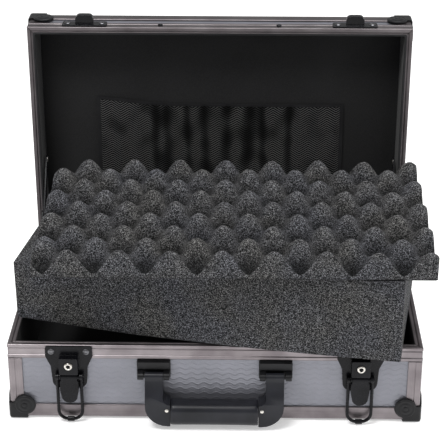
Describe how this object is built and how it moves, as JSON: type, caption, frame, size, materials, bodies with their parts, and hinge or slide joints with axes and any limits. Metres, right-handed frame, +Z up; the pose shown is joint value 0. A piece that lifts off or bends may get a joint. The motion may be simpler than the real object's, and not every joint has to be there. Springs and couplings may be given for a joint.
{
  "type": "hard equipment case",
  "caption": "Open hard equipment case: aluminium frame, hinged lid with stays and mesh pocket, toggle latches, carry handle, and a foam insert lifted half out.",
  "frame": {"origin": "on the floor, under the middle of the whole object's box with the lid open and the foam out; the case body's centre is 4.2 mm to the left and 8.6 mm in front of it", "axes": "+X to the case's right as seen from the front, +Y from the front (handle side) to the hinge side, +Z up"},
  "size_m": [0.382, 0.287, 0.3094],
  "materials": {
    "panel": "satin",
    "frame_metal": "satin",
    "black_plastic": "satin",
    "latch_metal": "satin",
    "nickel": "gloss",
    "felt": "matte",
    "mesh": "matte",
    "foam": "matte"
  },
  "bodies": {
    "base": {"base_panel_front": "panel", "base_panel_back": "panel", "base_panel_left": "panel", "base_panel_right": "panel", "base_panel_bottom": "panel", "base_rim_front": "frame_metal", "base_rim_back": "frame_metal", "base_rim_left": "frame_metal", "base_rim_right": "frame_metal", "base_edge_front": "frame_metal", "base_edge_back": "frame_metal", "base_edge_left": "frame_metal", "base_edge_right": "frame_metal", "base_post_front_left": "frame_metal", "base_post_front_right": "frame_metal", "base_post_back_left": "frame_metal", "base_post_back_right": "frame_metal", "base_cap_front_left": "black_plastic", "base_cap_front_right": "black_plastic", "base_cap_back_left": "black_plastic", "base_cap_back_right": "black_plastic", "base_floor_pad": "felt", "handle_bracket_left": "black_plastic", "handle_bracket_right": "black_plastic", "latch_plate_left": "latch_metal", "latch_plate_right": "latch_metal", "hinge_base_leaf": "latch_metal"},
    "lid": {"lid_panel_front": "panel", "lid_panel_back": "panel", "lid_panel_left": "panel", "lid_panel_right": "panel", "lid_panel_top": "panel", "lid_rim_front": "frame_metal", "lid_rim_back": "frame_metal", "lid_rim_left": "frame_metal", "lid_rim_right": "frame_metal", "lid_top_frame": "frame_metal", "lid_cap_front_left": "black_plastic", "lid_cap_front_right": "black_plastic", "lid_cap_back_left": "black_plastic", "lid_cap_back_right": "black_plastic", "mesh_pocket": "mesh", "strike_left": "latch_metal", "strike_right": "latch_metal", "hinge_lid_leaf": "latch_metal"},
    "handle": {"handle_grip": "black_plastic", "handle_arm_left": "black_plastic", "handle_arm_right": "black_plastic"},
    "latch_lever_left": {"latch_lever_left": "latch_metal"},
    "latch_bail_left": {"latch_bail_left": "latch_metal"},
    "lock_left": {"lock_cylinder_left": "nickel"},
    "stay_lower_left": {"stay_lower_left": "latch_metal"},
    "stay_upper_left": {"stay_upper_left": "latch_metal"},
    "latch_lever_right": {"latch_lever_right": "latch_metal"},
    "latch_bail_right": {"latch_bail_right": "latch_metal"},
    "lock_right": {"lock_cylinder_right": "nickel"},
    "stay_lower_right": {"stay_lower_right": "latch_metal"},
    "stay_upper_right": {"stay_upper_right": "latch_metal"},
    "egg_foam": {"egg_foam": "foam"},
    "foam_block": {"foam_block": "foam"}
  },
  "joints": [
    {"name": "lid_hinge", "type": "hinge", "parent": "base", "child": "lid", "pos_m": [-0.00424, 0.10394, 0.078], "axis": [1, 0, 0], "range_deg": [0, 90]},
    {"name": "foam_slide", "type": "slide", "parent": "base", "child": "egg_foam", "axis": [-0.2171, 0.4278, -0.8774], "range_m": [0, 0.0785], "deforming": ["egg_foam"]},
    {"name": "foam_block_turn", "type": "hinge", "parent": "egg_foam", "child": "foam_block", "pos_m": [0.13473, 0.02866, 0.114], "axis": [0, 0, 1], "range_deg": [0, 9.6], "deforming": ["foam_block"]},
    {"name": "handle_swing", "type": "hinge", "parent": "base", "child": "handle", "pos_m": [-0.00424, -0.12406, 0.05], "axis": [-1, 0, 0], "range_deg": [0, 100]},
    {"name": "latch_lever_left_turn", "type": "hinge", "parent": "base", "child": "latch_lever_left", "pos_m": [-0.13424, -0.12256, 0.0475], "axis": [-1, 0, 0], "range_deg": [0, 100]},
    {"name": "latch_bail_left_turn", "type": "hinge", "parent": "base", "child": "latch_bail_left", "pos_m": [-0.13424, -0.12256, 0.0475], "axis": [-1, 0, 0], "range_deg": [0, 168]},
    {"name": "lock_left_turn", "type": "hinge", "parent": "base", "child": "lock_left", "pos_m": [-0.13424, -0.11736, 0.06], "axis": [0, 1, 0], "range_deg": [0, 90]},
    {"name": "stay_lower_left_turn", "type": "hinge", "parent": "base", "child": "stay_lower_left", "pos_m": [-0.18074, 0.04794, 0.065], "axis": [1, 0, 0], "range_deg": [0, 148.33]},
    {"name": "stay_upper_left_turn", "type": "hinge", "parent": "stay_lower_left", "child": "stay_upper_left", "pos_m": [-0.17884, 0.08295, 0.10998], "axis": [1, 0, 0], "range_deg": [-145.18, 0]},
    {"name": "latch_lever_right_turn", "type": "hinge", "parent": "base", "child": "latch_lever_right", "pos_m": [0.12576, -0.12256, 0.0475], "axis": [-1, 0, 0], "range_deg": [0, 100]},
    {"name": "latch_bail_right_turn", "type": "hinge", "parent": "base", "child": "latch_bail_right", "pos_m": [0.12576, -0.12256, 0.0475], "axis": [-1, 0, 0], "range_deg": [0, 168]},
    {"name": "lock_right_turn", "type": "hinge", "parent": "base", "child": "lock_right", "pos_m": [0.12576, -0.11736, 0.06], "axis": [0, 1, 0], "range_deg": [0, 90]},
    {"name": "stay_lower_right_turn", "type": "hinge", "parent": "base", "child": "stay_lower_right", "pos_m": [0.17226, 0.04794, 0.065], "axis": [1, 0, 0], "range_deg": [0, 148.33]},
    {"name": "stay_upper_right_turn", "type": "hinge", "parent": "stay_lower_right", "child": "stay_upper_right", "pos_m": [0.17036, 0.08295, 0.10998], "axis": [1, 0, 0], "range_deg": [-145.18, 0]}
  ],
  "couplings": [
    {"joint": "foam_slide", "follows": "lid_hinge", "m_per_rad": 0.049848},
    {"joint": "foam_block_turn", "follows": "lid_hinge", "ratio": 0.10556},
    {"joint": "stay_lower_left_turn", "follows": "lid_hinge", "ratio": 1.647},
    {"joint": "stay_upper_left_turn", "follows": "lid_hinge", "ratio": -1.612},
    {"joint": "stay_lower_right_turn", "follows": "lid_hinge", "ratio": 1.647},
    {"joint": "stay_upper_right_turn", "follows": "lid_hinge", "ratio": -1.612}
  ]
}
